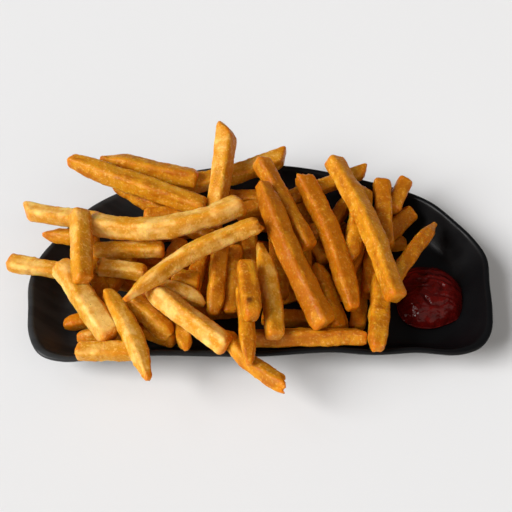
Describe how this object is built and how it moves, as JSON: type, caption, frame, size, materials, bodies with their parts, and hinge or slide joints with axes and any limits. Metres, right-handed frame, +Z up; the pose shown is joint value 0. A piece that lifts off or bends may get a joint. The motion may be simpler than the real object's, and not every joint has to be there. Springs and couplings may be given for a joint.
{
  "type": "french fries portion on a dish",
  "caption": "Loose heap of golden french fries with a dollop of ketchup on a shallow black dish with one straight side.",
  "frame": {"origin": "on the table, under the middle of the dish's flat underside", "axes": "+X to the right along the dish, towards the ketchup; +Y from the long straight front of the rim to the arched back; +Z up"},
  "size_m": [0.2689, 0.1719, 0.0582],
  "materials": {
    "dish": "satin black melamine with soft reflections",
    "fried_potato": "golden fried potato, browner at the edges and ends, finely rough with small blisters",
    "ketchup": "dark red, wet and glossy"
  },
  "bodies": {
    "root": {"plate": "dish", "fries": "fried_potato", "ketchup": "ketchup"}
  },
  "joints": []
}
